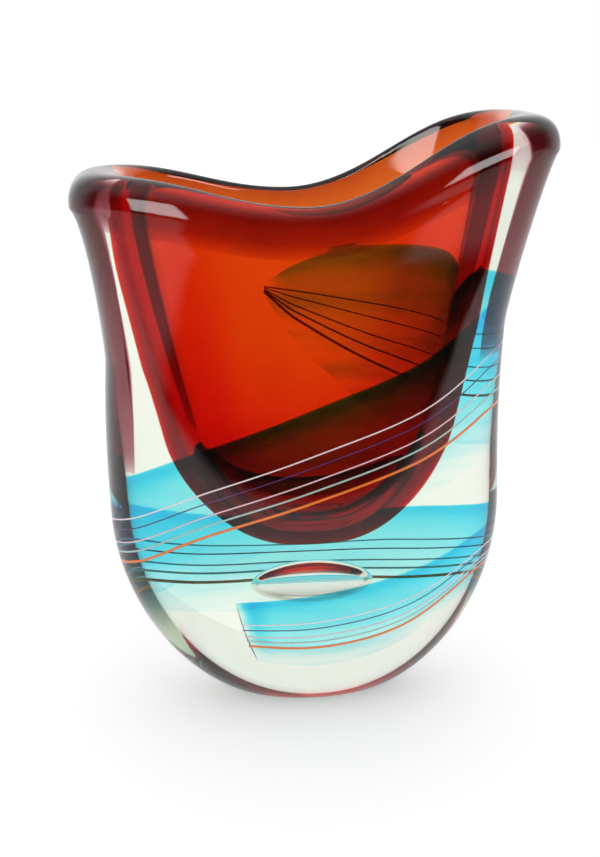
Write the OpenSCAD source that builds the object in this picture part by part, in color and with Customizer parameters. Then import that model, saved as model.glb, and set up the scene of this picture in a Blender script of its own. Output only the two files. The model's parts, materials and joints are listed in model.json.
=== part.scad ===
// Hand blown glass vase: a ruby cup cased in three gathers of clear crystal,
// with a tapering blue ribbon and five glass threads wound between the gathers.
// Frame: +Z up, origin at the centre of the foot on the table, mouth wide along X.

/* [Body] */
// Height of the right lobe of the lip
right_lobe_z = 296; // [270:1:360]
// Height of the left lobe of the lip
left_lobe_z = 271; // [260:1:340]
// Height of the saddle between the lobes
saddle_z = 257; // [215:1:260]
// Where the saddle is lowest, as a share of the half width
saddle_at = -0.085; // [-0.3:0.005:0.3]
// Width of the body at the belly
belly_w = 197; // [165:1:240]
// Depth of the body at the belly
belly_d = 104; // [86:1:126]
// Height of the belly, as a share of the whole height
belly_at = 0.37; // [0.3:0.01:0.45]
// Width across the two lobes
mouth_w = 235; // [196:1:284]
// Depth of the body at the lip
mouth_d = 97; // [80:1:118]
// Height where the lobes start to flare, as a share of the whole height
flare_at = 0.665; // [0.55:0.005:0.75]
// How far the waist leans to the left
waist_lean = 5.2; // [0:0.1:8]
// Exponent of the body's section at the belly, 2 for an ellipse
belly_corner = 2.4; // [2.1:0.1:3.2]
// Exponent of the body's section at the lip, a rounded rectangle
lip_corner = 3.4; // [2.5:0.1:4.5]

/* [Foot] */
// Width of the polished flat
foot_w = 61; // [50:1:74]
// Depth of the polished flat
foot_d = 30; // [25:1:36]

/* [Lip] */
// Width of the rounded lip at the two ends
lip_end_w = 16; // [10:0.5:19]
// Width of the rounded lip at the front and back
lip_face_w = 7.5; // [5:0.1:9]
// Height of the rounded lip at the two ends
lip_end_h = 16; // [8:0.5:18]
// Height of the rounded lip at the front and back
lip_face_h = 17; // [8:0.5:20]
// Height of the lip's inner rounding
lip_inner_h = 5; // [3:0.5:8]

/* [Clear gathers] */
// Thickness of the outer gather at the sides
casing_side = 8; // [5:0.5:10]
// Thickness of the outer gather at the front and back
casing_face = 5.5; // [4:0.1:7]
// Thickness of the outer gather under the middle one
foot_glass = 16; // [12:1:20]

/* [Ruby cup] */
// Height of the underside of the ruby glass
cup_bottom_z = 87; // [82:1:106]
// Width of the ruby glass at its round bottom, carried down to its lowest point
cup_base_w = 102; // [85:1:122]
// Width of the ruby glass below the lip
cup_mouth_w = 188; // [160:1:200]
// Depth of the ruby glass at its round bottom, carried down to its lowest point
cup_base_d = 64; // [52:1:70]
// Depth of the ruby glass below the lip
cup_mouth_d = 82; // [70:1:84]
// Thickness of the ruby glass on the walls
ruby_wall = 3; // [2:0.1:4.5]
// Thickness of the ruby glass at the bottom
ruby_bottom = 6; // [4:0.5:9]

/* [Air bubble] */
// Width of the bubble
bubble_w = 57; // [46:1:66]
// Depth of the bubble
bubble_d = 27; // [22:1:33]
// Height of the bubble
bubble_h = 20; // [15:1:22]
// Height of the bubble's middle
bubble_z = 67.5; // [60:0.5:69]

/* [Ribbon and threads] */
// Thickness of the ribbon at its upper edge
ribbon_thick = 2.4; // [1.6:0.1:3]
// Thickness of the ribbon at its lower edge
ribbon_thin = 0.6; // [0.4:0.1:1]
// Diameter of the white, violet and pink threads
fine_thread_d = 0.7; // [0.5:0.05:1.2]
// Diameter of the grey thread
grey_thread_d = 0.9; // [0.5:0.05:1.4]
// Diameter of the orange thread
orange_thread_d = 1.3; // [0.8:0.05:2]

/* [Hidden] */

around = 48;            // points in each horizontal ring
wall_rings = 15;        // rings from the foot to the lip
lip_rings = 3;          // rings over each side of the lip
bubble_rings = 4;       // rings over each half of the bubble
foot_exponent = 2;      // the foot is an ellipse
belly_end = 0.4;        // height share from which the section squares up towards the lip
foot_bow = 0.642;       // how fully the glass swells out above the foot
gather_bow = 0.5;       // the same for the middle gather
flare_bow = 1.19;       // how late the lobes swing out
lean_bow = 1.1;         // how high the lean is greatest
cup_bow = 0.38;         // how square the ruby glass is at its round bottom
cup_round_at = 0.3;     // height share of the cup over which its bottom rounds
gather_round_at = 0.25; // the same for the inner gather
lip_blend = 4;          // how late a gather's wall swings out to the lip
lip_round = 0.8;        // how full the lip's outer rounding is, 1 for a quarter of an ellipse
lip_late = 12;          // how late the skin slows down for the rounding of the lip
pocket_corner = 2.6;    // section exponent at the cup's round bottom
pocket_mouth_corner = 3;  // section exponent of the cup at the lip
pole_gap = 0.35;        // the lowest ring of a round bottom, in ring steps from its pole
lip_level = 265;        // a level in the lip that turns heights into shares
share_of_foot = foot_glass / lip_level;

// Winding of the ribbon: turn in degrees, height of its upper edge, height of the lowest thread
winding = [[-118, 66, 41], [-90, 70, 40], [-60, 79, 48], [-30, 92, 69], [0, 95, 71], [30, 95, 65],
           [60, 94, 60], [90, 90, 60], [120, 95, 62], [150, 108, 71], [180, 119, 77], [210, 129, 85],
           [240, 146, 103], [270, 164, 118], [300, 183, 134], [330, 212, 153], [360, 219, 155],
           [390, 221, 153], [420, 221, 161], [450, 213, 184], [462, 204, 199]];
winding_start = winding[0][0];
winding_end = winding[len(winding) - 1][0];
winding_step = 10;      // degrees between the ribbon's slices
ribbon_lanes = 3;       // facets across the ribbon
ribbon_sink = 0.8;      // how far the ribbon's blank dips into the gather that it lies on
ribbon_past = 1.4;      // where the ribbon ends, as a share of its way to the lowest thread
thread_sides = 6;
// Place of each thread, as a share of the way from the ribbon's upper edge
white_at = 0.5;
violet_at = 0.62;
pink_at = 0.77;
grey_at = 0.88;
orange_at = 1;

function mix(a, b, k) = a + (b - a) * k;
function bound(v, low, high) = max(low, min(high, v));
function smooth(k) = let (b = bound(k, 0, 1)) b * b * (3 - 2 * b);
function bulge(k, bow) = pow(1 - pow(1 - bound(k, 0, 1), 2), bow);

// A section is [half width, half depth, exponent, centre in X], a rounded rectangle.
// The turn runs from +X and is counted as if the section were as deep as it is wide.
function on_section(s, turn) =
    let (c = cos(turn), w = sin(turn), m = pow(pow(abs(c), s[2]) + pow(abs(w), s[2]), 1 / s[2]))
    [s[3] + s[0] * c / m, s[1] * w / m];

function ring(section, height) =
    [for (k = [0:around - 1]) let (turn = 360 * k / around, p = on_section(section, turn))
        [p[0], p[1], height(turn)]];

function mix_section(a, b, k) = [for (i = [0:3]) mix(a[i], b[i], k)];

function crest_section() =
    [mouth_w / 2 - lip_end_w, mouth_d / 2 - lip_face_w, lip_corner, 0];

// Height of the lip's crest, and how far the outer half of the lip comes down from it
function crest_z(turn) =
    let (u = on_section([1, 1, lip_corner, 0], turn)[0],
         right = u > saddle_at,
         way = abs(u - saddle_at) / (right ? 1 - saddle_at : 1 + saddle_at))
    mix(saddle_z, right ? right_lobe_z : left_lobe_z, pow(sin(90 * way), 2));

function lip_drop(turn) = mix(lip_face_h, lip_end_h, pow(cos(turn), 2));
function crest_ring() = ring(crest_section(), function(turn) crest_z(turn));

// The outside skin
function outer_section(t) =
    let (swell = bulge(t / belly_at, foot_bow),
         flare = pow(bound((t - flare_at) / (1 - flare_at), 0, 1), flare_bow))
    [mix(foot_w, belly_w, swell) / 2 + (mouth_w - belly_w) / 2 * flare,
     mix(foot_d, belly_d, swell) / 2 + (mouth_d - belly_d) / 2 * flare,
     mix(mix(foot_exponent, belly_corner, bound(t / belly_end, 0, 1)), lip_corner,
         smooth((t - belly_end) / (1 - belly_end))),
     -waist_lean * pow(sin(180 * pow(t, lean_bow)), 2)];

// The surface between the outer and the middle gather, where the ribbon lies
function middle_section(q) =
    let (t = mix(share_of_foot, 1, q), o = outer_section(t), late = pow(t, lip_blend),
         swell = bulge((t - share_of_foot) / (belly_at - share_of_foot), gather_bow),
         side = mix(casing_side, lip_end_w, late), face = mix(casing_face, lip_face_w, late))
    [t < belly_at ? mix(foot_w, belly_w - 2 * side, swell) / 2 : o[0] - side,
     t < belly_at ? mix(foot_d, belly_d - 2 * face, swell) / 2 : o[1] - face,
     o[2], o[3]];

// The outside of the ruby glass, and its inside with inside = 1
function cup_section(s, inside) =
    let (swell = bulge(s / cup_round_at, cup_bow), wall = inside * ruby_wall * min(1, swell))
    [mix(cup_base_w, cup_mouth_w, s) / 2 * swell - wall,
     mix(cup_base_d, cup_mouth_d, s) / 2 * swell - wall,
     mix(pocket_corner, pocket_mouth_corner, s),
     -waist_lean / 2 * (1 - pow(s, lip_blend))];

function bubble_section(k) =
    [bubble_w / 2 * k, bubble_d / 2 * k, foot_exponent, -waist_lean / 2];

// Shares of the way up that crowd the rings towards the bottom
function share(i, n) = pow(i / n, 1.5);

// Every layer's rings, from the bottom up. They stop one ring short of the lip's crest,
// which all the layers share.
function outer_rings() = concat(
    [for (i = [0:wall_rings]) let (t = share(i, wall_rings))
        ring(outer_section(t), function(turn) t * crest_z(turn) - pow(t, lip_late) * lip_drop(turn))],
    [for (k = [1:lip_rings - 1]) let (a = 90 * k / lip_rings)
        ring(mix_section(outer_section(1), crest_section(), 1 - pow(cos(a), lip_round)),
             function(turn) crest_z(turn) - lip_drop(turn) * (1 - pow(sin(a), lip_round)))]);

function middle_rings() =
    [for (i = [0:wall_rings - 2]) let (q = share(i, wall_rings - 1))
        ring(middle_section(q), function(turn) mix(foot_glass, crest_z(turn), q))];

function inner_rings() =
    [for (i = [0:wall_rings - 2]) let (q = share(i, wall_rings - 1),
         between = mix_section(middle_section(q), cup_section(q, 0), 0.5))
        ring(mix_section(bubble_section(1), between, bulge(q / gather_round_at, gather_bow)),
             function(turn) mix(bubble_z, crest_z(turn), q))];

function cup_rings() =
    [for (i = [0:wall_rings - 2]) let (q = share(i + pole_gap, wall_rings - 1))
        ring(cup_section(q, 0), function(turn) mix(cup_bottom_z, crest_z(turn), q))];

// The inside of the ruby glass, from the lip's crest down to the pocket's bottom
function pocket_rings() = concat(
    [for (k = [1:lip_rings - 1]) let (a = 90 * k / lip_rings)
        ring(mix_section(crest_section(), cup_section(1, 1), sin(a)),
             function(turn) crest_z(turn) - lip_inner_h * (1 - cos(a)))],
    [for (i = [wall_rings - 1:-1:0]) let (q = share(i + pole_gap, wall_rings - 1 + pole_gap))
        ring(cup_section(q, 1), function(turn)
             mix(cup_bottom_z + ruby_bottom, crest_z(turn) - lip_inner_h, q))]);

// Half of the bubble: rings from its middle to its pole, up or down
function bubble_half(up) =
    [for (k = [1:bubble_rings]) let (a = 90 * k / (bubble_rings + 0.5))
        ring(bubble_section(cos(a)), function(turn) bubble_z + up * bubble_h / 2 * sin(a))];

function reverse(list) = [for (i = [len(list) - 1:-1:0]) list[i]];

// Closed solid through a list of rings. Rings before turn_at climb the outside and the rest
// come down the inside, with mirrored diagonals so that touching layers share their facets.
module loft(rings, turn_at) {
    n = len(rings);
    ends = [for (r = [rings[0], rings[n - 1]]) [for (c = [0:2]) (r[0][c] + r[around / 2][c]) / 2]];
    points = concat([for (r = rings) each r], ends);
    walls = [for (i = [0:n - 2], k = [0:around - 1])
        let (a = i * around + k, b = i * around + (k + 1) % around, c = a + around, d = b + around)
        each (i < turn_at ? [[a, c, d], [a, d, b]] : [[a, c, b], [b, c, d]])];
    caps = [for (k = [0:around - 1]) let (m = (k + 1) % around, top = (n - 1) * around)
        each [[k, m, n * around], [top + m, top + k, n * around + 1]]];
    polyhedron(points = points, faces = concat(walls, caps), convexity = 10);
}

// A point on the ribbon's surface: turn, share of the way down, and height above the gather
function winding_row(turn) =
    let (i = bound(floor(lookup(turn, [for (k = [0:len(winding) - 1]) [winding[k][0], k]])),
                   0, len(winding) - 2),
         a = winding[max(i - 1, 0)], b = winding[i], c = winding[i + 1],
         d = winding[min(i + 2, len(winding) - 1)], h = c[0] - b[0], k = (turn - b[0]) / h)
    [for (j = [1, 2]) let (m = (c[j] - a[j]) / (c[0] - a[0]) * h, n = (d[j] - b[j]) / (d[0] - b[0]) * h)
        b[j] * (2 * k * k * k - 3 * k * k + 1) + m * (k * k * k - 2 * k * k + k)
            + c[j] * (3 * k * k - 2 * k * k * k) + n * (k * k * k - k * k)];

function on_gather(turn, down, out) =
    let (row = winding_row(turn), z = mix(row[0], row[1], down),
         s = middle_section((z - foot_glass) / (crest_z(turn) - foot_glass)),
         p = on_section(s + [out, out, 0, 0], turn))
    [p[0], p[1], z];

function ribbon_height(down) = mix(ribbon_thick, ribbon_thin, down / ribbon_past);

// Ribbon blank, as a chain of short blocks that dip into the middle gather
module ribbon_blank() {
    steps = ceil((winding_end - winding_start) / winding_step);
    for (i = [0:steps - 1], lane = [0:ribbon_lanes - 1]) {
        corners = [for (u = [i, i + 1], v = [lane, lane + 1], out = [0, 1])
            let (turn = mix(winding_start, winding_end, u / steps), down = ribbon_past * v / ribbon_lanes)
            on_gather(turn, down, out ? ribbon_height(down) : -ribbon_sink)];
        hull() polyhedron(points = corners,
            faces = [[0, 2, 3, 1], [4, 5, 7, 6], [0, 1, 5, 4], [2, 6, 7, 3], [0, 4, 6, 2], [1, 3, 7, 5]]);
    }
}

// Thread: a round cane swept along the winding, half sunk in what it lies on
module thread(diameter, down) {
    steps = ceil((winding_end - winding_start) / winding_step);
    points = [for (i = [0:steps])
        let (turn = mix(winding_start, winding_end, i / steps),
             here = on_gather(turn, down, ribbon_height(down)),
             next = on_gather(turn + 1, down, ribbon_height(down)),
             away = on_gather(turn, down, ribbon_height(down) + 1) - here,
             side = cross(next - here, away) / norm(cross(next - here, away)))
        each [for (k = [0:thread_sides - 1]) let (a = 360 * k / thread_sides)
            here + diameter / 2 * (cos(a) * side + sin(a) * away / norm(away))]];
    last = steps * thread_sides;
    sides = [for (i = [0:steps - 1], k = [0:thread_sides - 1])
        let (a = i * thread_sides + k, b = i * thread_sides + (k + 1) % thread_sides)
        each [[a, b, a + thread_sides], [b, b + thread_sides, a + thread_sides]]];
    ends = concat([[for (k = [thread_sides - 1:-1:0]) k]], [[for (k = [0:thread_sides - 1]) last + k]]);
    polyhedron(points = points, faces = concat(sides, ends), convexity = 10);
}

// The ruby glass that lines the pocket and turns over the lip
module ruby_cup() {
    color([0.78, 0.1, 0.04])
        loft(concat(cup_rings(), [crest_ring()], pocket_rings()), wall_rings - 1);
}

// First clear gather, over the ruby cup, with the dimple that traps the bubble
module inner_gather() {
    color([0.9, 0.93, 0.88, 0.5])
        loft(concat(reverse(bubble_half(1)), inner_rings(), [crest_ring()], reverse(cup_rings())),
             bubble_rings + wall_rings - 1);
}

// Second clear gather, whose outside carries the ribbon and the threads
module middle_blank() {
    loft(concat(middle_rings(), [crest_ring()], reverse(inner_rings()), bubble_half(-1)),
         wall_rings - 1);
}

module middle_gather() {
    color([0.88, 0.93, 0.9, 0.5]) middle_blank();
}

// Last clear gather, with the polished foot, the skin and the outer half of the lip
module outer_gather() {
    color([0.86, 0.93, 0.9, 0.35])
        difference() {
            loft(concat(outer_rings(), [crest_ring()], reverse(middle_rings())), wall_rings + lip_rings);
            ribbon_blank();
        }
}

// Blue ribbon, thick at its upper edge, wound over the middle gather
module blue_ribbon() {
    color([0.1, 0.7, 0.92, 0.8])
        difference() {
            ribbon_blank();
            middle_blank();
        }
}

module white_thread() { color([0.95, 0.85, 0.88]) thread(fine_thread_d, white_at); }
module violet_thread() { color([0.2, 0.1, 0.3]) thread(fine_thread_d, violet_at); }
module pink_thread() { color([0.93, 0.7, 0.75]) thread(fine_thread_d, pink_at); }
module grey_thread() { color([0.55, 0.65, 0.62]) thread(grey_thread_d, grey_at); }
module orange_thread() { color([0.93, 0.35, 0.1]) thread(orange_thread_d, orange_at); }

ruby_cup();
inner_gather();
middle_gather();
outer_gather();
blue_ribbon();
white_thread();
violet_thread();
pink_thread();
grey_thread();
orange_thread();
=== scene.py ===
import json
from math import pi, radians

import bpy
import numpy as np
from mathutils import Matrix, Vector

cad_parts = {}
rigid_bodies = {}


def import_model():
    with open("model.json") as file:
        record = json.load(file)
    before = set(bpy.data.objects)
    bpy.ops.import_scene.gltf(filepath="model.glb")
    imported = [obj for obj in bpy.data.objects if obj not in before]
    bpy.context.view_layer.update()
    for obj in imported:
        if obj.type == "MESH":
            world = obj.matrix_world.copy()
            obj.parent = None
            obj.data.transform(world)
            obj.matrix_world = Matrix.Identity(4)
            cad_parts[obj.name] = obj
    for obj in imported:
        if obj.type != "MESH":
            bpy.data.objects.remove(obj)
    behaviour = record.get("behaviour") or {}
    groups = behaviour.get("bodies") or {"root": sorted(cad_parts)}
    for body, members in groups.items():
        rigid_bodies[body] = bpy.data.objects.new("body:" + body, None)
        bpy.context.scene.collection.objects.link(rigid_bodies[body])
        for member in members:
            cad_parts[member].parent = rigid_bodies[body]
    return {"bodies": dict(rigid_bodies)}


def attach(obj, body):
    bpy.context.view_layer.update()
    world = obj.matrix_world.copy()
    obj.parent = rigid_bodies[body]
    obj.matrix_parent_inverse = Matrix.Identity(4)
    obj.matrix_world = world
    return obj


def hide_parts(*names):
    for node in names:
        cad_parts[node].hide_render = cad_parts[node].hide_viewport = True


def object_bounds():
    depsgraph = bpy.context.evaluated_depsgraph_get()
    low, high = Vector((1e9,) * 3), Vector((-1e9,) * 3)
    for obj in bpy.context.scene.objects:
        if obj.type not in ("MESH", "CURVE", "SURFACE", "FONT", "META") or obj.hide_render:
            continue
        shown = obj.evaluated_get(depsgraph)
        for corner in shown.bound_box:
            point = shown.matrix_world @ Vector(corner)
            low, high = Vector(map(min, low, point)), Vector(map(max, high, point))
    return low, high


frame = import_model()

cad_low, cad_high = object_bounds()
BODY = next(iter(frame["bodies"]))

# ---------------------------------------------------------------- camera
# A short telephoto on a stand, a little above the lip and a little to the left of the vase,
# looking slightly down on it. Thick glass needs many bounces.
EYE = Vector((-0.1047, -0.7184, 0.34385))
AIM = Vector((-0.00669, 0.0, 0.1407))
FOCAL_MM, SENSOR_MM, NEAR_CLIP = 89.8, 36, 0.01
GLASS_BOUNCES, GLOSSY_BOUNCES, DIFFUSE_BOUNCES, BRIGHTEST_INDIRECT = 40, 24, 3, 4

bpy.ops.object.camera_add(location=EYE)
camera = bpy.context.object
camera.name = "camera"
camera.rotation_euler = (AIM - EYE).to_track_quat("-Z", "Y").to_euler()
camera.data.sensor_fit = "HORIZONTAL"
camera.data.sensor_width = SENSOR_MM
camera.data.lens = FOCAL_MM
camera.data.clip_start = NEAR_CLIP
scene = bpy.context.scene
scene.camera = camera
scene.view_settings.view_transform = "Standard"
scene.cycles.max_bounces = GLASS_BOUNCES
scene.cycles.transmission_bounces = GLASS_BOUNCES
scene.cycles.transparent_max_bounces = GLASS_BOUNCES
scene.cycles.glossy_bounces = GLOSSY_BOUNCES
scene.cycles.diffuse_bounces = DIFFUSE_BOUNCES
scene.cycles.use_denoising = True
scene.cycles.sample_clamp_indirect = BRIGHTEST_INDIRECT

# ---------------------------------------------------------------- studio
# A white tent all round, which the camera sees and which lights the vase straight through the
# glass. What the glass mirrors is the tent behind and overhead, and in front a dark room with
# a bright far table and two soft boxes beside the lens.
WHITE, ROOM_LIGHT, HAZE_LIGHT, BOX_LIGHT = 1.0, 0.05, 0.65, 7.0
PLAIN = (1, 1, 1, 1)
# Where each light fades in and out, in the parts of a ray's direction
TENT_FADE, FRONT_FADE, HORIZON_FADE = (-0.25, 0.35), (-0.1, 0.1), (0.015, -0.015)
OVERHEAD_FADE, OVERHEAD = (0.35, 0.9), 0.9
TABLE_LEFT, TABLE_RIGHT = (-0.12, -0.2), (0.2, 0.3)
NEVER_ZERO, HALF_A_BOUNCE = 0.01, (0.2, 0.8)
# Each soft box by its left, right, lower and upper edge
SOFT_BOXES = [((-0.52, -0.48), (-0.09, -0.12), (0.05, 0.08), (0.46, 0.42)),
              ((0.25, 0.28), (0.7, 0.66), (0.07, 0.09), (0.29, 0.26))]


class Value:
    """A node's output. Arithmetic on it adds Math nodes, and node() adds any other node."""

    def __init__(self, tree, socket=None):
        self.tree, self.socket = tree, socket

    def node(self, kind, settings=(), values=(), out=0):
        made = self.tree.nodes.new("ShaderNode" + kind)
        for name, setting in dict(settings).items():
            setattr(made, name, setting)
        for name, value in dict(values).items():
            if isinstance(value, Value):
                self.tree.links.new(value.socket, made.inputs[name])
            else:
                made.inputs[name].default_value = value
        return Value(self.tree, made.outputs[out] if made.outputs else None)

    def math(self, operation, *values):
        return self.node("Math", {"operation": operation}, enumerate(values))

    def __add__(self, other):
        return self.math("ADD", self, other)

    def __radd__(self, other):
        return self.math("ADD", other, self)

    def __sub__(self, other):
        return self.math("SUBTRACT", self, other)

    def __rsub__(self, other):
        return self.math("SUBTRACT", other, self)

    def __mul__(self, other):
        return self.math("MULTIPLY", self, other)

    def __rmul__(self, other):
        return self.math("MULTIPLY", other, self)

    def __truediv__(self, other):
        return self.math("DIVIDE", self, other)

    def __rtruediv__(self, other):
        return self.math("DIVIDE", other, self)

    def ease(self, off, on):
        """0 at and before off, 1 from on onwards, smooth between, either way round."""
        return self.node("MapRange", {"interpolation_type": "SMOOTHSTEP"},
                         {"Value": self, "From Min": off, "From Max": on})

    def part(self, axis):
        return self.node("SeparateXYZ", values={"Vector": self}, out=axis)


def mirror_masks(start):
    """Masks of the rays that were ever mirrored, and of those mirrored by an outer face alone."""
    turned = start.node("LightPath", out="Glossy Depth").ease(*HALF_A_BOUNCE)
    through = start.node("LightPath", out="Transmission Depth").ease(*HALF_A_BOUNCE)
    return turned, turned * (1 - through)


world = bpy.data.worlds.new("studio")
scene.world = world
world.use_nodes = True
world.node_tree.nodes.clear()
sky = Value(world.node_tree)
direction = sky.node("TexCoord", out="Generated")
dir_x, dir_y, dir_z = [direction.part(axis) for axis in "XYZ"]
turned, mirrored = mirror_masks(sky)
room = ROOM_LIGHT + dir_y.ease(*TENT_FADE) * (WHITE - ROOM_LIGHT)
room = room + (1 - room) * dir_z.ease(*OVERHEAD_FADE) * OVERHEAD
in_front = 1 - dir_y.ease(*FRONT_FADE)
slope = dir_x / (NEVER_ZERO - dir_y)
table = dir_z.ease(*HORIZON_FADE) * in_front * (slope.ease(*TABLE_LEFT) + slope.ease(*TABLE_RIGHT))
front_light = table * HAZE_LIGHT
for left, right, bottom, top in SOFT_BOXES:
    across = dir_x.ease(*left) * dir_x.ease(*right)
    upright = dir_z.ease(*bottom) * dir_z.ease(*top)
    front_light = front_light + BOX_LIGHT * (across * upright)
level = WHITE + turned * (room - WHITE) + mirrored * in_front * front_light
shade = sky.node("MixShader", values={
    0: sky.node("LightPath", out="Is Camera Ray"),
    1: sky.node("Background", values={"Color": PLAIN, "Strength": level}),
    2: sky.node("Background", values={"Color": PLAIN, "Strength": WHITE})})
sky.node("OutputWorld", values={"Surface": shade})

# ---------------------------------------------------------------- floor
# A pale matt table that glows a little, as a lit white sweep does. Mirrored in the glass it is
# dark towards the room, past the strip next to the vase, but for a pale area on either side.
FLOOR_SIDE, FLOOR_GREY, FLOOR_ROUGHNESS, FLOOR_GLOW = 6.0, 0.8, 0.7, 0.32
NEAR_STRIP = (-0.42, -0.36)
PALE_LEFT, PALE_RIGHT = (-0.4, -0.5), (0.7, 0.85)


def new_material(name):
    material = bpy.data.materials.new(name)
    material.use_nodes = True
    material.node_tree.nodes.clear()
    return material, Value(material.node_tree)


bpy.ops.mesh.primitive_plane_add(size=FLOOR_SIDE, location=(0, 0, 0))
floor = bpy.context.object
floor.name = "floor"
paint, start = new_material("pale_floor")
sheen = start.node("BsdfPrincipled", values={
    "Base Color": (FLOOR_GREY, FLOOR_GREY, FLOOR_GREY, 1), "Roughness": FLOOR_ROUGHNESS,
    "Emission Color": PLAIN, "Emission Strength": FLOOR_GLOW})
spot = start.node("TexCoord", out="Object")
turned, mirrored = mirror_masks(start)
pale = mirrored * (spot.part("X").ease(*PALE_LEFT) + spot.part("X").ease(*PALE_RIGHT))
far = start.node("MixShader", values={
    0: pale,
    1: start.node("Emission", values={"Color": PLAIN, "Strength": ROOM_LIGHT}),
    2: start.node("Emission", values={"Color": PLAIN, "Strength": ROOM_LIGHT + HAZE_LIGHT})})
surface = start.node("MixShader", values={
    0: turned * (1 - spot.part("Y").ease(*NEAR_STRIP)), 1: sheen, 2: far})
start.node("OutputMaterial", values={"Surface": surface})
floor.data.materials.append(paint)

# ---------------------------------------------------------------- clear crystal
# Three gathers of clear crystal, one over the other, melted into one thick body: the skin, the
# polished foot, the rounded lip, the inside of the pocket and the bubble trapped under it.
LOBE_R, LOBE_L, SADDLE, SADDLE_AT = cad_high.z, 0.271, 0.257, -0.085
FOOT_W, FOOT_D, FOOT_BOW = 0.061, 0.030, 0.642
BELLY_W, BELLY_D, BELLY_AT = 0.197, cad_high.y - cad_low.y, 0.37
MOUTH_W, MOUTH_D, FLARE_AT, FLARE_BOW = cad_high.x - cad_low.x, 0.097, 0.665, 1.19
LEAN, LEAN_BOW = 0.0052, 1.1
FOOT_CORNER, BELLY_CORNER, LIP_CORNER, BELLY_END = 2.0, 2.4, 3.4, 0.4
# The lip's rounding: its widths and heights at the two ends, and at the front and back
LIP_END_W, LIP_FACE_W, LIP_END_H, LIP_FACE_H, LIP_INNER_H = 0.016, 0.0075, 0.016, 0.017, 0.005
LIP_LATE, LIP_ROUND, LIP_BLEND = 12, 0.8, 4
# The cup: its underside, the thickness of its bottom and wall, its width and depth low and high
CUP_LOW, CUP_BOTTOM, CUP_WALL = 0.087, 0.006, 0.003
CUP_BASE, CUP_MOUTH = (0.102, 0.064), (0.188, 0.082)
CUP_CORNER, CUP_MOUTH_CORNER, CUP_ROUND, CUP_BOW = 2.6, 3.0, 0.3, 0.38
BUBBLE_SIZE, BUBBLE_AT, BUBBLE_FACES = (0.057, 0.027, 0.020), (-0.0026, 0, 0.0675), (96, 48)
AROUND, SKIN_ROWS, LIP_ROWS, LIP_INNER_ROWS, POCKET_ROWS = 240, 96, 16, 12, 90
SKIN_CROWDING, POCKET_CROWDING = 1.5, 1.9
CRYSTAL_IOR, CRYSTAL_TAKES, CRYSTAL_WISP = 1.5, (2.2, 1.5, 3.0), (0.985, 0.99, 0.98)
TOOL_WAVES, FOOT_SATIN, FOOT_SATIN_Z = 0.00025, 0.06, (0.0012, 0.0004)
# Wisps in the melt and waves in the skin: how many to a metre, their detail, where they show
WISPS, WISP_DETAIL, WISP_FADE, WAVES, WAVE_DETAIL = 22.0, 4.0, (0.35, 0.75), 16.0, 1.0
MOST_TAKEN, MERGE = 0.98, 1e-7
TURNS = np.arange(AROUND) * 2 * pi / AROUND


def mix(a, b, k):
    return a + (b - a) * k


def bulge(k, bow):
    return (1 - (1 - np.clip(k, 0, 1)) ** 2) ** bow


def step(k, low, high):
    """0 below low, 1 above high, smooth between."""
    k = np.clip((k - low) / (high - low), 0, 1)
    return k * k * (3 - 2 * k)


def on_section(section, turn):
    """A point on a rounded rectangle: half width, half depth, exponent, centre in X."""
    a, b, n, x = section
    c, s = np.cos(turn), np.sin(turn)
    m = (np.abs(c) ** n + np.abs(s) ** n) ** (1 / n)
    return x + a * c / m, b * s / m


def grown(section, by, deeper=0):
    a, b, n, x = section
    return a + by, b + by + deeper, n, x


def ring(section, height):
    x, y = on_section(section, TURNS)
    return np.stack([x, y, height], 1)


def crest(turn):
    """Height of the lip's crest: a low saddle between two lobes."""
    u = on_section((1, 1, LIP_CORNER, 0), turn)[0]
    right = u > SADDLE_AT
    way = np.abs(u - SADDLE_AT) / np.where(right, 1 - SADDLE_AT, 1 + SADDLE_AT)
    return mix(SADDLE, np.where(right, LOBE_R, LOBE_L), np.sin(pi / 2 * way) ** 2)


CREST = crest(TURNS)
LIP_DROP = mix(LIP_FACE_H, LIP_END_H, np.cos(TURNS) ** 2)


def skin_section(t):
    swell = bulge(t / BELLY_AT, FOOT_BOW)
    flare = np.clip((t - FLARE_AT) / (1 - FLARE_AT), 0, 1) ** FLARE_BOW
    return np.array([mix(FOOT_W, BELLY_W, swell) / 2 + (MOUTH_W - BELLY_W) / 2 * flare,
                     mix(FOOT_D, BELLY_D, swell) / 2 + (MOUTH_D - BELLY_D) / 2 * flare,
                     mix(mix(FOOT_CORNER, BELLY_CORNER, np.minimum(1, t / BELLY_END)), LIP_CORNER,
                         step(t, BELLY_END, 1)),
                     -LEAN * np.sin(pi * t ** LEAN_BOW) ** 2])


def skin_height(t):
    return t * CREST - t ** LIP_LATE * LIP_DROP


def crest_section():
    return np.array([MOUTH_W / 2 - LIP_END_W, MOUTH_D / 2 - LIP_FACE_W, LIP_CORNER, 0])


def cup_section(s, wall):
    swell = bulge(s / CUP_ROUND, CUP_BOW)
    return np.array([mix(CUP_BASE[0], CUP_MOUTH[0], s) / 2 * swell - wall,
                     mix(CUP_BASE[1], CUP_MOUTH[1], s) / 2 * swell - wall,
                     mix(CUP_CORNER, CUP_MOUTH_CORNER, s),
                     -LEAN / 2 * (1 - s ** LIP_BLEND)])


def lip_inside(k):
    """The inner half of the lip: its section and its drop below the crest, k from 0 to 1."""
    a = pi / 2 * k
    return mix(crest_section(), cup_section(1, CUP_WALL), np.sin(a)), LIP_INNER_H * (1 - np.cos(a))


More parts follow.
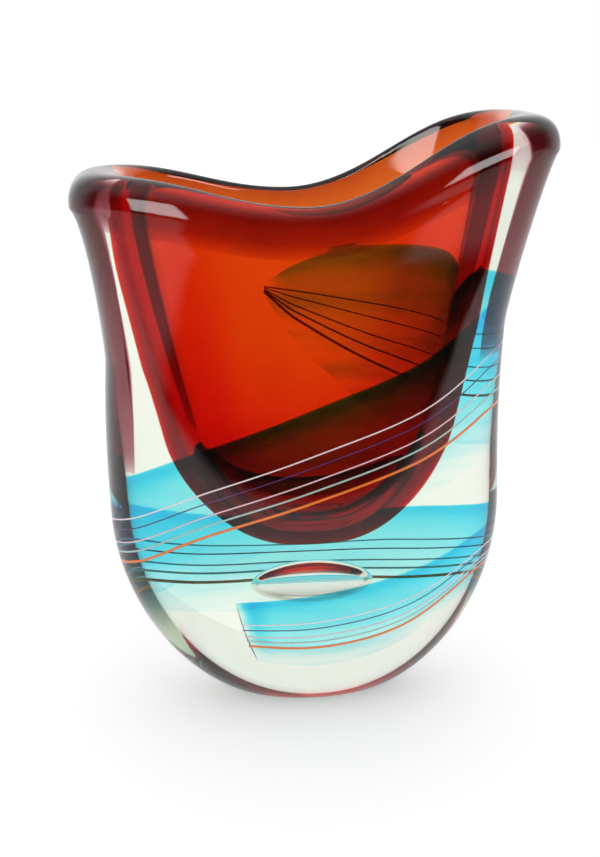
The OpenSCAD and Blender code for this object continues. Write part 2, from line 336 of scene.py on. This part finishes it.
def lip_outside(k):
    """The outer half of the lip, k from 0 at the crest to 1 at the skin."""
    a = pi / 2 * (1 - k)
    return (mix(skin_section(1), crest_section(), 1 - np.cos(a) ** LIP_ROUND),
            LIP_DROP * (1 - np.sin(a) ** LIP_ROUND))


def no_wall(q):
    return 0


def pocket_rings(gap, wall, bottom, deeper=no_wall):
    """The pocket's inside from below the crest down to its pole. The gap moves it into the
    glass, and wall, bottom and deeper move it on through the ruby."""
    rings = []
    for k in np.arange(1, LIP_INNER_ROWS + 1) / LIP_INNER_ROWS:
        section, drop = lip_inside(k)
        across = gap + wall(1) * np.sin(pi / 2 * k)
        under = gap + wall(1) * np.cos(pi / 2 * k)
        rings.append(ring(grown(section, across), CREST - drop - under))
    for q in (np.arange(POCKET_ROWS - 1, 0, -1) / POCKET_ROWS) ** POCKET_CROWDING:
        full = min(1, bulge(q / CUP_ROUND, CUP_BOW))
        section = grown(cup_section(q, CUP_WALL * full), gap + wall(q) * full, deeper(q))
        rings.append(ring(section, mix(CUP_LOW + CUP_BOTTOM - bottom - gap,
                                       CREST - gap - LIP_INNER_H, q)))
    return rings


def sweep(name, rings, capped=True):
    """A closed skin through rings of points: a grid laid over them, with its seam merged. The
    two ends are capped, unless the last ring is the first one again."""
    rings = np.array(rings)
    count, around = rings.shape[:2]
    laid = np.concatenate([rings, rings[:, :1]], 1)
    bpy.ops.object.select_all(action="DESELECT")
    bpy.ops.mesh.primitive_grid_add(x_subdivisions=around, y_subdivisions=count - 1)
    piece = bpy.context.object
    piece.name = piece.data.name = name
    piece.data.vertices.foreach_set("co", laid.astype(np.float32).ravel())
    bpy.ops.object.mode_set(mode="EDIT")
    bpy.ops.mesh.select_all(action="SELECT")
    bpy.ops.mesh.remove_doubles(threshold=MERGE)
    if capped:
        bpy.ops.mesh.select_all(action="DESELECT")
        bpy.ops.mesh.select_mode(type="EDGE")
        bpy.ops.mesh.select_non_manifold(extend=False, use_boundary=True, use_wire=False,
                                         use_multi_face=False, use_non_contiguous=False,
                                         use_verts=False)
        bpy.ops.mesh.edge_face_add()
        bpy.ops.mesh.select_mode(type="FACE")
        bpy.ops.mesh.poke()
        bpy.ops.mesh.select_all(action="SELECT")
    bpy.ops.mesh.normals_make_consistent(inside=False)
    bpy.ops.object.mode_set(mode="OBJECT")
    bpy.ops.object.shade_smooth()
    return piece


def blend(mask, first, second):
    """The first colour where the mask is 0, the second where it is 1."""
    return mask.node("Mix", {"data_type": "RGBA"}, {0: mask, 6: (*first, 1), 7: (*second, 1)}, out=2)


def glass(name, ior, takes, wisp, drawn_out=(1, 1, 1), waves=0.0):
    """Clear or coloured glass. takes is how strongly a metre of it takes out red, green and
    blue, and wisp is its colour where a wisp in the melt is strongest. waves is the height of
    the waves that the tools left, and with them comes the satin foot."""
    material, start = new_material(name)
    where = start.node("TexCoord", out="Object")
    drawn = start.node("Mapping", values={"Vector": where, "Scale": drawn_out})
    wisps = start.node("TexNoise", values={"Vector": drawn, "Scale": WISPS, "Detail": WISP_DETAIL})
    values = {"Base Color": blend(wisps.ease(*WISP_FADE), (1, 1, 1), wisp), "Roughness": 0.0,
              "IOR": ior, "Transmission Weight": 1.0}
    if waves:
        wave = start.node("TexNoise", values={"Vector": where, "Scale": WAVES, "Detail": WAVE_DETAIL})
        values["Normal"] = start.node("Bump", values={
            "Strength": 1.0, "Distance": waves, "Height": wave})
        values["Roughness"] = where.part("Z").ease(*FOOT_SATIN_Z) * FOOT_SATIN
    shader = start.node("BsdfPrincipled", values=values)
    density = max(takes) / MOST_TAKEN
    volume = start.node("VolumeAbsorption", values={
        "Color": [1 - taken / density for taken in takes] + [1], "Density": density})
    start.node("OutputMaterial", values={"Surface": shader, "Volume": volume})
    return material


skin = [ring(skin_section(t), skin_height(t))
        for t in (np.arange(SKIN_ROWS + 1) / SKIN_ROWS) ** SKIN_CROWDING]
for k in np.arange(LIP_ROWS - 1, -1, -1) / LIP_ROWS:
    section, drop = lip_outside(k)
    skin.append(ring(section, CREST - drop))
crystal = sweep("crystal_body", skin + pocket_rings(0, no_wall, 0))

bpy.ops.object.select_all(action="DESELECT")
bpy.ops.mesh.primitive_uv_sphere_add(segments=BUBBLE_FACES[0], ring_count=BUBBLE_FACES[1],
                                     radius=0.5, location=BUBBLE_AT, scale=BUBBLE_SIZE)
bpy.ops.object.mode_set(mode="EDIT")
bpy.ops.mesh.select_all(action="SELECT")
bpy.ops.mesh.flip_normals()
bpy.ops.object.mode_set(mode="OBJECT")
bpy.ops.object.shade_smooth()
crystal.select_set(True)
bpy.context.view_layer.objects.active = crystal
bpy.ops.object.join()

crystal.data.materials.append(
    glass("clear_crystal", CRYSTAL_IOR, CRYSTAL_TAKES, CRYSTAL_WISP, waves=TOOL_WAVES))
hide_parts("outer_gather", "middle_gather", "inner_gather")
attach(crystal, BODY)

# ---------------------------------------------------------------- ruby lining
# The first glass on the pipe: a thin cup of ruby that lines the pocket and ends just over the
# lip's crest, amber through one wall and red through two. The crystal round it is fused to it
# with no gap and bends light as much, so it bends none of its own and only colours it.
SAME_IOR = 1.0
LINING_GAP = 0.00012
LINING_LOW_WALL, LINING_WALL, LINING_THIN_AT = 0.0055, 0.003, 0.6
LINING_LESS, LINING_MORE = 0.0008, 0.0018
LINING_TURN, LINING_TURN_ROWS = 0.15, 8
# Where on the pocket's height the wall gets thinner and is full again, and where the front and
# back walls' extra glass ends; the last is by how far a point is to the side
LESS_FROM, LESS_UNTIL, MORE_UNTIL, MORE_BESIDE = (0.4, 0.7), (0.85, 1), (0.6, 1), (0.4, 0.8)
RUBY_TAKES, RUBY_WISP, RUBY_DRAWN_OUT = (40, 470, 1170), (0.95, 0.85, 0.85), (1, 1, 0.6)


def lining_less(q):
    """What the wall loses between the pocket's round bottom and the lip."""
    return LINING_LESS * step(q, *LESS_FROM) * (1 - step(q, *LESS_UNTIL))


def lining_wall(q):
    return mix(LINING_LOW_WALL, LINING_WALL, step(q, 0, LINING_THIN_AT)) - lining_less(q)


def lining_deeper(q):
    """What the front and back walls have more than the ends, most of it near the corners."""
    corner = step(np.abs(np.cos(TURNS)), *MORE_BESIDE)
    return lining_less(q) + LINING_MORE * corner * (1 - step(q, *MORE_UNTIL))


outside, inside = [], []
for share in np.arange(LINING_TURN_ROWS + 1) / LINING_TURN_ROWS:
    section, drop = lip_outside(share * LINING_TURN)
    a = pi / 2 * share * LINING_TURN
    under = LINING_GAP + lining_wall(1) * (1 - share) ** 0.5
    for rows, deep in ((outside, under), (inside, LINING_GAP)):
        rows.append(ring(grown(section, -deep * np.sin(a)), CREST - drop - deep * np.cos(a)))
cup_outside = pocket_rings(LINING_GAP, lining_wall, CUP_BOTTOM, lining_deeper)
cup_inside = pocket_rings(LINING_GAP, no_wall, 0)
lining = sweep("ruby_lining", cup_outside[::-1] + outside + inside[::-1][1:] + cup_inside)
lining.data.materials.append(glass("ruby_glass", SAME_IOR, RUBY_TAKES, RUBY_WISP, RUBY_DRAWN_OUT))
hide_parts("ruby_cup")
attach(lining, BODY)

# ---------------------------------------------------------------- ruby lip band
# The ruby that ran over the lip in the fire, just under the skin: a dark band round the lip's
# outer half, thinner behind, that runs far down the two ends. A clear slit parts the front of
# the band from each end.
BAND_GAP, BAND_THICK, BAND_THICK_BACK, BAND_THICK_ENDS = 0.0005, 0.0028, 0.3, 1.5
BAND_FROM, BAND_ON_LIP, BAND_RISE, BAND_EDGE = 0.2, 0.7, 0.2, 0.02
BAND_BELOW, BAND_BELOW_RIGHT, BAND_BELOW_LEFT = 0.06, 0.38, 0.52
BAND_FADE, BAND_FADE_ENDS = 0.8, 0.4
BAND_END_RIGHT, BAND_END_LEFT, BAND_END_SOFT = 0.7, 0.78, 0.04
BAND_BACK_FADE, BAND_FRONT_FADE = (-0.2, 0.3), (-0.1, 0.2)
SLIT_CLEAR, SLIT_OPENS, SLIT_CLOSES = 0.95, (0.61, 0.65), (0.7, 0.74)
BAND_ROWS = 16
PLUM_TAKES, PLUM_WISP = (640, 1400, 1250), (0.85, 0.7, 0.75)

right, sideways = np.cos(TURNS) > 0, np.abs(np.cos(TURNS))
back = step(np.sin(TURNS), *BAND_BACK_FADE)
front = 1 - step(np.sin(TURNS), *BAND_FRONT_FADE)
end_from = np.where(right, BAND_END_RIGHT, BAND_END_LEFT)
ends = front * step(sideways, end_from, end_from + BAND_END_SOFT)
slit = front * step(sideways, *SLIT_OPENS) * (1 - step(sideways, *SLIT_CLOSES))
below = mix(BAND_BELOW, np.where(right, BAND_BELOW_RIGHT, BAND_BELOW_LEFT), ends)
fullness = mix(mix(1, BAND_THICK_BACK, back), BAND_THICK_ENDS, ends) * (1 - SLIT_CLEAR * slit)
near_skin, far_skin = [], []
for p in np.interp(np.arange(2 * BAND_ROWS + 1), [0, BAND_ROWS, 2 * BAND_ROWS], [0, BAND_ON_LIP, 1]):
    rise, fall = step(p, 0, BAND_RISE), mix((1 - p) ** BAND_FADE, (1 - p) ** BAND_FADE_ENDS, ends)
    thick = BAND_THICK * mix(BAND_EDGE, 1, rise * fall) * fullness
    k = mix(BAND_FROM, 1, p / BAND_ON_LIP)
    if k <= 1:
        section, drop = lip_outside(k)
        height = CREST - drop
    else:
        t = 1 - below * (p - BAND_ON_LIP) / (1 - BAND_ON_LIP)
        section, height = skin_section(t), skin_height(t)
    a = pi / 2 * min(k, 1)
    for rows, deep in ((near_skin, BAND_GAP), (far_skin, BAND_GAP + thick)):
        rows.append(ring(grown(section, -deep * np.sin(a)), height - deep * np.cos(a)))
band = sweep("ruby_lip_band", near_skin + far_skin[::-1] + near_skin[:1], capped=False)
band.data.materials.append(glass("plum_glass", SAME_IOR, PLUM_TAKES, PLUM_WISP))
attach(band, BODY)

# ---------------------------------------------------------------- blue ribbon
# A tapering strip of blue glass wound one and a half times round the second gather, thick
# along its upper edge and thinning out downwards. It starts with a curl and ends thin.
GATHER_SIDE, GATHER_FACE, GATHER_LOW, GATHER_BOW, LIP_LEVEL = 0.008, 0.0055, 0.016, 0.5, 0.265
MILLIMETRES = 1000
SHARE_LOW = GATHER_LOW / LIP_LEVEL
# Turn in degrees, height of the ribbon's upper edge and of the lowest thread in millimetres
WINDING = [(-118, 66, 41), (-90, 70, 40), (-60, 79, 48), (-30, 92, 69), (0, 95, 71), (30, 95, 65),
           (60, 94, 60), (90, 90, 60), (120, 95, 62), (150, 108, 71), (180, 119, 77), (210, 129, 85),
           (240, 146, 103), (270, 164, 118), (300, 183, 134), (330, 212, 153), (360, 219, 155),
           (390, 221, 153), (420, 221, 161), (450, 213, 184), (462, 204, 199)]
TURN_LOW, TURN_HIGH = WINDING[0][0], WINDING[-1][0]
RIBBON_THICK, RIBBON_LEAST, RIBBON_PAST, ROUND_BOW = 0.0024, 0.00002, 1.4, 0.5
EDGE_ROUNDING, EDGE_FADE, EDGE_SHARE, BODY_SHARE, BODY_FADE = 12, 0.09, 0.85, 0.2, (0.35, 1)
FADE_START, FADE_END = 5, 8
THIN_FROM, THIN_OVER, END_THIN = 370, 60, 0.4
CURL, CURL_TURN = 0.9, 4
RIBBON_SLICES, RIBBON_POINTS = 360, 34
BLUE_TAKES, BLUE_WISP, BLUE_DRAWN_OUT = (2500, 285, 40), (0.6, 0.9, 0.98), (0.5, 0.5, 4)


def gather_section(q):
    """The outside of the second gather, where the ribbon lies."""
    t = mix(SHARE_LOW, 1, q)
    skin_width, skin_depth, corner, centre = skin_section(t)
    side = mix(GATHER_SIDE, LIP_END_W, t ** LIP_BLEND)
    face = mix(GATHER_FACE, LIP_FACE_W, t ** LIP_BLEND)
    if t >= BELLY_AT:
        return skin_width - side, skin_depth - face, corner, centre
    swell = bulge((t - SHARE_LOW) / (BELLY_AT - SHARE_LOW), GATHER_BOW)
    return (mix(FOOT_W, BELLY_W - 2 * side, swell) / 2,
            mix(FOOT_D, BELLY_D - 2 * face, swell) / 2, corner, centre)


def winding_at(turn, column):
    """The winding's height at a turn, by a smooth curve through its rows."""
    rows = np.array(WINDING, float)
    i = int(np.clip(np.searchsorted(rows[:, 0], turn, side="right") - 1, 0, len(rows) - 2))
    a, b, c, d = rows[max(i - 1, 0)], rows[i], rows[i + 1], rows[min(i + 2, len(rows) - 1)]
    h = c[0] - b[0]
    k = (turn - b[0]) / h
    m = (c[column] - a[column]) / (c[0] - a[0]) * h
    n = (d[column] - b[column]) / (d[0] - b[0]) * h
    return (b[column] * (2 * k ** 3 - 3 * k ** 2 + 1) + m * (k ** 3 - 2 * k ** 2 + k)
            + c[column] * (3 * k ** 2 - 2 * k ** 3) + n * (k ** 3 - k ** 2)) / MILLIMETRES


def on_gather(turn, down, out):
    """A point on the second gather: turn in degrees, share of the way from the ribbon's upper
    edge to the lowest thread, and height above the glass."""
    z = mix(winding_at(turn, 1), winding_at(turn, 2), down)
    angle = radians(turn)
    section = gather_section((z - GATHER_LOW) / (float(crest(angle)) - GATHER_LOW))
    x, y = on_section(grown(section, out), angle)
    return np.array([x, y, z])


def ribbon_thickness(turn, downs):
    """The ribbon's thickness at a turn, at shares of the way from its upper edge down."""
    across = bulge(downs * EDGE_ROUNDING, ROUND_BOW) * (1 - step(downs, *BODY_FADE)) \
        * mix(BODY_SHARE, EDGE_SHARE, np.exp(-downs / EDGE_FADE))
    start = step(turn, TURN_LOW, TURN_LOW + FADE_START)
    end = 1 - step(turn, TURN_HIGH - FADE_END, TURN_HIGH)
    thin = mix(1, END_THIN, step(turn, THIN_FROM, THIN_FROM + THIN_OVER))
    curl = 1 + CURL * np.exp(-((turn - TURN_LOW - FADE_START) / CURL_TURN) ** 2)
    return np.maximum(RIBBON_THICK * across * start * end * thin * curl, RIBBON_LEAST)


downs = (1 - np.cos(np.linspace(0, pi, RIBBON_POINTS))) / 2
rings = []
for turn in np.linspace(TURN_LOW, TURN_HIGH, RIBBON_SLICES):
    halves = ribbon_thickness(turn, downs) / 2
    outer = [on_gather(turn, RIBBON_PAST * down, half) for down, half in zip(downs, halves)]
    inner = [on_gather(turn, RIBBON_PAST * down, -half) for down, half in zip(downs, halves)]
    rings.append(outer + inner[::-1])
ribbon = sweep("blue_ribbon_glass", rings)
ribbon.data.materials.append(glass("blue_glass", SAME_IOR, BLUE_TAKES, BLUE_WISP, BLUE_DRAWN_OUT))
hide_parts("blue_ribbon")
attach(ribbon, BODY)

# ---------------------------------------------------------------- threads
# Five thin canes of coloured glass trailed side by side along the lower part of the ribbon.
# They are opaque. A painted glow makes them pale on the front, standing in for the light from the
# front; behind they have none and are dark.
THREADS = [("white_thread", 0.5, 0.0007, (0.95, 0.80, 0.86)),
           ("violet_thread", 0.62, 0.0006, (0.10, 0.04, 0.16)),
           ("pink_thread", 0.77, 0.0007, (0.90, 0.60, 0.68)),
           ("grey_thread", 0.88, 0.0009, (0.45, 0.60, 0.58)),
           ("orange_thread", 1.0, 0.0013, (0.93, 0.22, 0.04))]
THREAD_SLICES, THREAD_POINTS, THREAD_LIFT = 420, 10, 0.0012
LOOK_AHEAD, LOOK_AWAY = 0.5, 0.001
THREAD_ROUGHNESS, THREAD_PAINTED_GLOW, PAINTED_GLOW_FRONT, PAINTED_GLOW_LEAST = 0.3, 0.4, (0.02, -0.01), 0.75
STREAKS, STREAK_DETAIL, STREAK_FADE, STREAK_SHARE, STREAK_DARK = 90.0, 3.0, (0.25, 0.75), 0.3, 0.6


def thread_glass(name, colour):
    material, start = new_material(name)
    where = start.node("TexCoord", out="Object")
    noise = start.node("TexNoise", values={"Vector": where, "Scale": STREAKS, "Detail": STREAK_DETAIL})
    streak = noise.ease(*STREAK_FADE)
    # Painted light: each thread glows in its own colour on its front half, standing in for light from
    # the front. The glow is never less than a set share of the full glow, and reaches the full glow in
    # the streaks.
    front = where.part("Y").ease(*PAINTED_GLOW_FRONT)
    shader = start.node("BsdfPrincipled", values={
        "Base Color": blend(streak * STREAK_SHARE, colour, [c * STREAK_DARK for c in colour]),
        "Roughness": THREAD_ROUGHNESS, "Specular IOR Level": 0.0,
        "Emission Color": blend(front * (PAINTED_GLOW_LEAST + streak * (1 - PAINTED_GLOW_LEAST)), (0, 0, 0), colour),
        "Emission Strength": THREAD_PAINTED_GLOW})
    start.node("OutputMaterial", values={"Surface": shader})
    return material


for name, down, diameter, colour in THREADS:
    rings = []
    for turn in np.linspace(TURN_LOW, TURN_HIGH, THREAD_SLICES):
        here = on_gather(turn, down, THREAD_LIFT)
        away = on_gather(turn, down, THREAD_LIFT + LOOK_AWAY) - here
        away /= np.linalg.norm(away)
        side = np.cross(on_gather(turn + LOOK_AHEAD, down, THREAD_LIFT) - here, away)
        side /= np.linalg.norm(side)
        rings.append([here + diameter / 2 * (np.cos(a) * side + np.sin(a) * away)
                      for a in np.arange(THREAD_POINTS) * 2 * pi / THREAD_POINTS])
    thread = sweep(name + "_cane", rings)
    thread.data.materials.append(thread_glass(name, colour))
    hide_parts(name)
    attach(thread, BODY)
